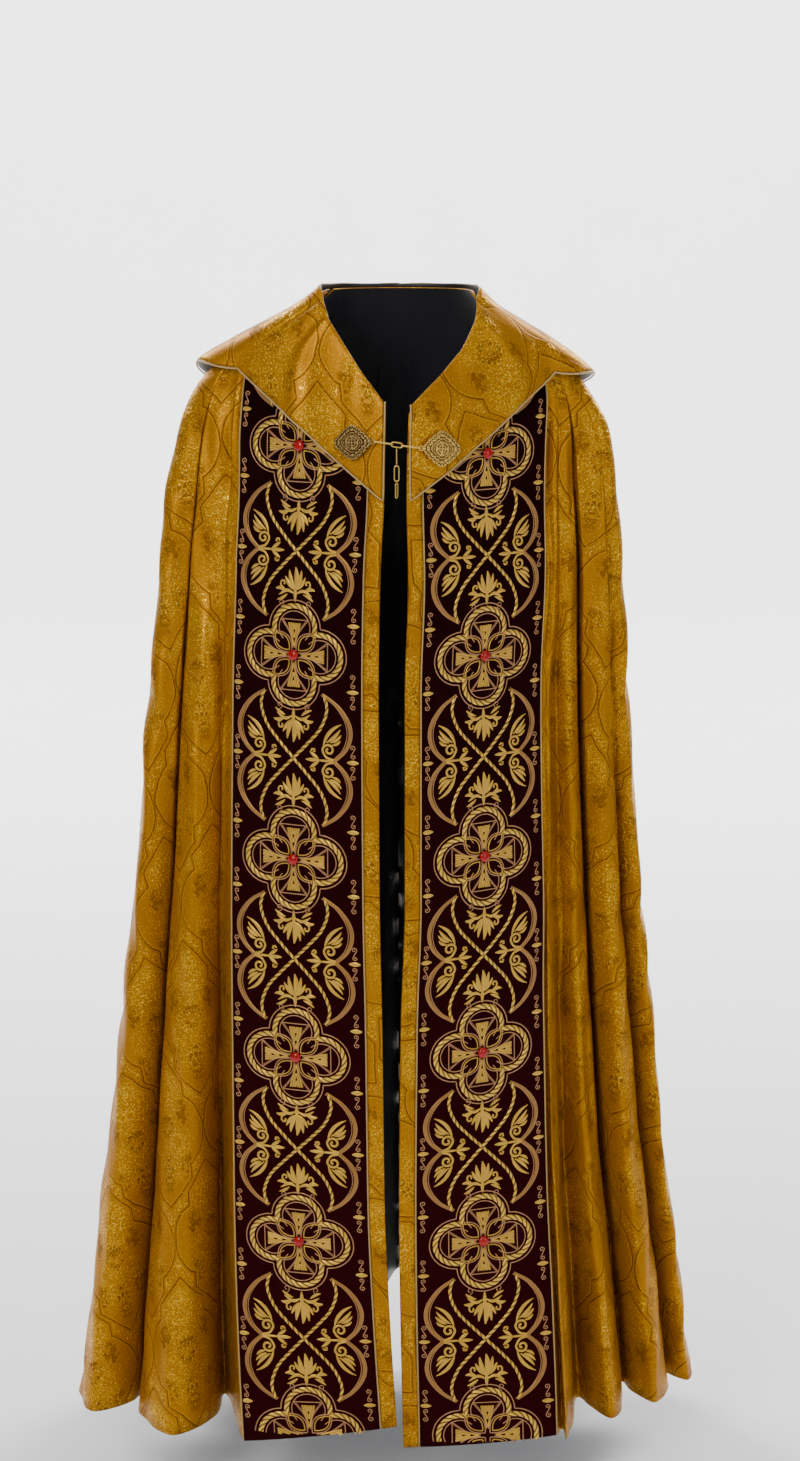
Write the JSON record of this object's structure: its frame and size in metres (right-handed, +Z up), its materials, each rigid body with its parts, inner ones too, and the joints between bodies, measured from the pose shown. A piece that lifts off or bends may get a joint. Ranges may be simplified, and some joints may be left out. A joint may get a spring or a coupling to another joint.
{
  "type": "cope vestment",
  "caption": "Long open cape-like church vestment, lined, hollow, with velvet front bands, a wide flat collar and a chain clasp at the chest.",
  "frame": {"origin": "middle of the neck opening, level with the top of the shoulders, where the wearer holds the cope up", "axes": "+Z up, the open fronts face -Y, +X is the viewer's right from the front"},
  "size_m": [0.8275, 0.5062, 1.4677],
  "materials": {
    "brocade": "gold figured brocade with metallic thread",
    "lining": "smooth dark lining",
    "velvet": "dark wine velvet with gold embroidery",
    "piping": "light gold piping",
    "brass": "cast, lightly aged",
    "jewel": "polished red cabochon"
  },
  "bodies": {
    "garment": {"mantle_left": "brocade", "lining_left": "lining", "edge_strip_left": "brocade", "piping_left_inner": "piping", "piping_left_outer": "piping", "orphrey_left": "velvet", "mantle_right": "brocade", "lining_right": "lining", "edge_strip_right": "brocade", "piping_right_inner": "piping", "piping_right_outer": "piping", "orphrey_right": "velvet", "collar": "brocade", "collar_lining": "lining", "collar_piping": "piping", "clasp_plate_left": "brass", "clasp_plate_right": "brass", "chain_link_left": "brass", "chain_hook_right": "brass", "chain_link_middle": "brass", "jewel_left_1": "jewel", "jewel_left_2": "jewel", "jewel_left_3": "jewel", "jewel_left_4": "jewel", "jewel_left_5": "jewel", "jewel_right_1": "jewel", "jewel_right_2": "jewel", "jewel_right_3": "jewel", "jewel_right_4": "jewel", "jewel_right_5": "jewel"},
    "tail_1": {"tail_link_1": "brass"},
    "tail_2": {"tail_link_2": "brass"},
    "tail_3": {"tail_link_3": "brass"}
  },
  "joints": [
    {"name": "tail_1_swing", "type": "hinge", "parent": "garment", "child": "tail_1", "pos_m": [-0.00205, -0.15002, -0.17765], "axis": [0.9892, 0.0068, -0.1461], "range_deg": [-80, 20]},
    {"name": "tail_2_swing", "type": "hinge", "parent": "tail_1", "child": "tail_2", "pos_m": [-0.00205, -0.15002, -0.19415], "axis": [0, 1, 0], "range_deg": [-20, 20]},
    {"name": "tail_3_swing", "type": "hinge", "parent": "tail_2", "child": "tail_3", "pos_m": [-0.00205, -0.15002, -0.21065], "axis": [1, 0, 0], "range_deg": [-50, 50]}
  ]
}
